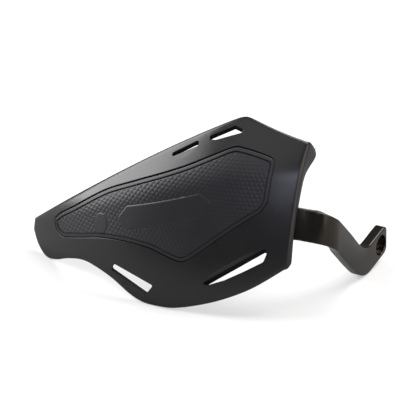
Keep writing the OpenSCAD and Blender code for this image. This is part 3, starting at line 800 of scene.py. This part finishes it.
def panel_skin(bm, back):
    # Where the panel is narrower than FULL_ROOM, the close rows move closer still
    edge = len(STEPS_IN)
    run = PANEL_X1 - STEPS_IN[-1] - PANEL_X0
    columns = [PANEL_X0 + run * i / PANEL_COLUMNS for i in range(PANEL_COLUMNS)]
    columns += [PANEL_X1 - i for i in reversed(STEPS_IN)]
    rows = PANEL_ROWS + 2 * edge - 1
    made = bmesh.ops.create_grid(bm, x_segments=len(columns) - 1, y_segments=rows, size=1)
    for v in made["verts"]:
        x = columns[grid_index(v.co.x, len(columns) - 1)]
        j = grid_index(v.co.y, rows)
        low, high = panel_foot(x), panel_top(x)
        tilt_low, tilt_high = tilt(panel_foot, x), tilt(panel_top, x)
        room = min(1.0, (high - low) / (FULL_ROOM * (tilt_low + tilt_high) / 2))
        if j < edge:
            z = low + STEPS_IN[j] * tilt_low * room
        elif j > rows - edge:
            z = high - STEPS_IN[rows - j] * tilt_high * room
        else:
            first = low + STEPS_IN[-1] * tilt_low * room
            last = high - STEPS_IN[-1] * tilt_high * room
            z = first + (last - first) * (j - edge + 1) / (PANEL_ROWS + 1)
        inset = min((z - low) / tilt_low, (high - z) / tilt_high, PANEL_X1 - x)
        depth = PANEL_T if back else relief(x, z, inset)
        v.co = stand(on_face(x, z, depth))
    faces = {f for v in made["verts"] for f in v.link_faces}
    return [e for e in {e for f in faces for e in f.edges} if len(e.link_faces) == 1]


panel = bmesh.new()
front_rim = panel_skin(panel, False)
back_rim = panel_skin(panel, True)
bmesh.ops.bridge_loops(panel, edges=front_rim + back_rim)
bmesh.ops.recalc_face_normals(panel, faces=panel.faces)
STUB_R, STUB_SINK, STUB_OUT = 3.2, 0.5, 2.25
for x, z in STUBS:
    add_post(panel, across_wall(x, z, PANEL_T), STUB_R, -STUB_SINK, WALL + STUB_OUT - PANEL_T,
             round_by=0.2)
make_piece("panel_moulding", panel, [panel_plastic], ["panel_insert"])

# %% [markdown]
# ## The arm
# The arm starts as a grid that is wrapped round its section: a flat bar with rounded edges. Its rows
# go round the section and its columns along the path, closer together at the bend, the elbow and the
# ends. The ends are drawn in to round their corners, and capped.

# %% Section and stations of the arm
EDGE_R, CORNER_POINTS = 1.1, 6


def arm_section(half, inset):
    # Points round the section as (height, depth): down the rear face and up the front one
    h, t, r = half - inset, ARM_T - 2 * inset, EDGE_R
    points = []
    for y, z, turn in ((h - r, inset + t - r, 0), (-h + r, inset + t - r, 90),
                       (-h + r, inset + r, 180), (h - r, inset + r, 270)):
        for k in range(CORNER_POINTS):
            a = math.radians(turn + 90 / (CORNER_POINTS - 1) * k)
            points.append((y + r * math.cos(a), z + r * math.sin(a)))
    return points


def spread(a, b, spacing):
    count = max(1, round((b - a) / spacing))
    return [a + (b - a) * (i + 1) / count for i in range(count)]


# Where each stretch of the arm ends, and how far apart its sections lie
STRETCHES = [(ARM_S0 + 5, 0.5), (-16, 3), (13, 0.7), (ELBOW_S - 12, 2), (ELBOW_S + 12, 0.9),
             (ARM_S1 - 5, 2), (ARM_S1 - EDGE_R, 0.5)]
start = ARM_S0 + EDGE_R
inner_stations = [start]
for end, spacing in STRETCHES:
    inner_stations += spread(start, end, spacing)
    start = end
# The end faces are rounded too: how far in from the end a section lies, and how much smaller it is
ENDS = [(0.0, 1.1), (0.06, 0.75), (0.25, 0.4), (0.6, 0.13)]
arm_rows = ([(ARM_S0 + s, inset) for s, inset in ENDS] + [(s, 0.0) for s in inner_stations]
            + [(ARM_S1 - s, inset) for s, inset in reversed(ENDS)])


def corner_cut(s):
    u = min(s - ARM_S0, ARM_S1 - s, CORNER_R)
    return CORNER_R - math.sqrt(max(0.0, CORNER_R ** 2 - (CORNER_R - u) ** 2))


print("sections along the arm:", len(arm_rows))

# %% [markdown]
# The grid is rolled up to a tube along the path, its seam is welded and its two ends are capped, so
# the bar is one closed skin that a drill can cut.

# %% Skin of the arm
arm = bmesh.new()
around = 4 * CORNER_POINTS
ring_grid = bmesh.ops.create_grid(arm, x_segments=len(arm_rows) - 1, y_segments=around, size=1)
for v in ring_grid["verts"]:
    s, inset = arm_rows[grid_index(v.co.x, len(arm_rows) - 1)]
    section = arm_section(arm_half(s) - corner_cut(s), inset)
    height, depth = section[grid_index(v.co.y, around) % around]
    v.co = on_arm(s, height, depth)
bmesh.ops.remove_doubles(arm, verts=arm.verts, dist=WELD)
ends = [e for e in arm.edges if len(e.link_faces) == 1]
bmesh.ops.holes_fill(arm, edges=ends)
bmesh.ops.recalc_face_normals(arm, faces=arm.faces)
print("open edges of the arm:", sum(1 for e in arm.edges if len(e.link_faces) != 2))

# %% [markdown]
# The eye takes a bolt: a bore right through, with a round seat for the bolt's head in the inboard
# face. A drill with a chamfer on it would cut both at once, so the cutter is a turned profile, spun
# round its axis. It flares where it leaves each face, which leaves a small chamfer there. The two
# screw holes in the root are cut with a plainer one.

# %% Turned cutters
EYE_IN = 9.4
EYE_CUTTER = [(0, -2), (9.4, -2), (7.4, 0.45), (7.4, 3), (4.2, 3), (4.2, 7.6), (5.4, 9), (0, 9)]
SCREW_CUTTER = [(0, -1), (3.3, -1), (3.3, 9), (0, 9)]


def turned(bm, matrix, profile):
    # profile: (radius, height) from the bottom up, in millimetres
    points = [bm.verts.new(matrix @ Vector((r * MM, 0, h * MM))) for r, h in profile]
    edges = [bm.edges.new(pair) for pair in zip(points, points[1:])]
    axis = (matrix.to_3x3() @ Vector((0, 0, 1))).normalized()
    bmesh.ops.spin(bm, geom=points + edges, cent=matrix.translation, axis=axis,
                   angle=2 * math.pi, steps=56, use_merge=True)


cutters = bmesh.new()
turned(cutters, across_arm(ARM_S1 - EYE_IN), EYE_CUTTER)
for x in BOSSES:
    turned(cutters, across_arm(root_s(x)), SCREW_CUTTER)
bmesh.ops.remove_doubles(cutters, verts=cutters.verts, dist=WELD)
bmesh.ops.recalc_face_normals(cutters, faces=cutters.faces)
print("faces of the cutters:", len(cutters.faces))

# %% [markdown]
# The bar and the cutters become objects for a moment, because an exact boolean is a modifier. The
# drilled result is read back, and both objects are taken away again.

# %% Drill the arm
arm_blank, drill = mesh_object("arm_blank", arm), mesh_object("drill", cutters)
cut = arm_blank.modifiers.new("drilled", "BOOLEAN")
cut.object, cut.operation, cut.solver = drill, "DIFFERENCE", "EXACT"
drilled = bmesh.new()
drilled.from_object(arm_blank, bpy.context.evaluated_depsgraph_get())
for thing in (arm_blank, drill):
    bpy.data.objects.remove(thing)
make_piece("arm_moulding", drilled, [arm_plastic], ["mount_arm"], sharp=34)

# %% [markdown]
# ## Fasteners
# The screws, washers and inserts are the CAD's own solids. A merged copy of each gets a fine bevel,
# because a real edge is never perfectly sharp and a bevel catches the light.

# %% Fasteners
FLAT_ANGLE, RIM_ANGLE = math.radians(1), math.radians(32)


def dressed(node, material, bevel):
    bm = bmesh.new()
    bm.from_mesh(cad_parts[node].data)
    bmesh.ops.remove_doubles(bm, verts=bm.verts, dist=WELD)
    bmesh.ops.dissolve_limit(bm, angle_limit=FLAT_ANGLE, verts=bm.verts, edges=bm.edges)
    rims = [e for e in bm.edges if len(e.link_faces) == 2 and e.calc_face_angle(0) > RIM_ANGLE]
    bmesh.ops.bevel(bm, geom=rims, offset=bevel * MM, offset_type="OFFSET", segments=2, profile=0.5,
                    affect="EDGES", material=-1, clamp_overlap=True)
    make_piece(node + "_finished", bm, [material], [node], sharp=30)


for end in ("outer", "inner"):
    dressed("arm_screw_" + end, black_steel, 0.15)
    dressed("arm_washer_" + end, bright_steel, 0.12)
    dressed("boss_insert_" + end, insert_brass, 0.1)
for number in range(1, 6):
    dressed("panel_screw_%d" % number, black_steel, 0.12)

# %% [markdown]
# ## Studio floor
# The guard stands on a white sweep. To the camera the floor glows a little, so it's white but keeps
# the object's soft shadow. To the object it's a plain pale floor, which the lower faces reflect.

# %% Floor
def studio_white():
    material, tree = new_material("studio_sweep_white")
    seen = add_node(tree, "ShaderNodeLightPath")
    plain = add_node(tree, "ShaderNodeBsdfDiffuse", None, Color=linear("#a4a4a4"))
    shadowed = add_node(tree, "ShaderNodeBsdfDiffuse", None, Color=linear("#b0b0b0"))
    glow = add_node(tree, "ShaderNodeEmission", None, Color=linear("#ffffff"), Strength=0.44)
    bright = add_node(tree, "ShaderNodeAddShader", None, _0=shadowed.outputs[0], _1=glow.outputs[0])
    choice = add_node(tree, "ShaderNodeMixShader", None, Fac=seen.outputs["Is Camera Ray"],
                      _1=plain.outputs[0], _2=bright.outputs[0])
    finish_material(tree, choice)
    return material


floor_mesh = bmesh.new()
bmesh.ops.create_grid(floor_mesh, x_segments=1, y_segments=1, size=6)
sweep = mesh_object("sweep", floor_mesh)
sweep.data.materials.append(studio_white())
print("floor's width in metres:", sweep.dimensions.x)

# %% [markdown]
# ## Lamps and world
# A black object is lit by what it reflects. A tall soft lamp on the outboard side draws the pale band
# along the brow. A big one overhead, behind the guard, whitens the floor. A small cool one beside the
# camera gives the inboard side its grey sheen, a large warm one on the inboard side does so for the
# arm, and a weak one above the front fills in. The rest of the room stays dark, so black stays black.

# %% Lamps and world
FOOT, MIDDLE = (0, 0, 0), (0, 0, 0.06)


def soft_lamp(name, place, target, wide, high, watts, colour="#ffffff"):
    light = bpy.data.lights.new(name, "AREA")
    light.shape, light.size, light.size_y, light.energy = "RECTANGLE", wide, high, watts
    light.color = linear(colour)[:3]
    lamp = bpy.data.objects.new(name, light)
    bpy.context.scene.collection.objects.link(lamp)
    lamp.location = place
    lamp.rotation_euler = (Vector(target) - Vector(place)).to_track_quat("-Z", "Y").to_euler()


soft_lamp("lamp_outboard", (-1.51, -0.22, 0.94), MIDDLE, 1.1, 1.7, 46)
soft_lamp("lamp_overhead", (0.6, 0.8, 1.6), FOOT, 1.4, 1.4, 40)
soft_lamp("lamp_camera_side", (0.68, -1.19, 0.84), MIDDLE, 0.48, 0.48, 2.7, "#e4e8ff")
soft_lamp("lamp_inboard", (1.55, -0.15, 0.5), MIDDLE, 1.5, 1.5, 13, "#ffeedc")
soft_lamp("lamp_front_top", (0, -0.7, 1.35), MIDDLE, 1.0, 1.0, 2.2)

world = bpy.data.worlds.new("studio")
bpy.context.scene.world = world
world.use_nodes = True
world.node_tree.nodes.clear()
seen = add_node(world.node_tree, "ShaderNodeLightPath")
surround = add_node(world.node_tree, "ShaderNodeBackground", None, Color=(1, 1, 1, 1), Strength=0.15)
backdrop = add_node(world.node_tree, "ShaderNodeBackground", None, Color=(1, 1, 1, 1), Strength=1.0)
choice = add_node(world.node_tree, "ShaderNodeMixShader", None, Fac=seen.outputs["Is Camera Ray"],
                  _1=surround.outputs[0], _2=backdrop.outputs[0])
add_node(world.node_tree, "ShaderNodeOutputWorld", None, Surface=choice.outputs[0])
bpy.context.scene.view_settings.view_transform = "Standard"
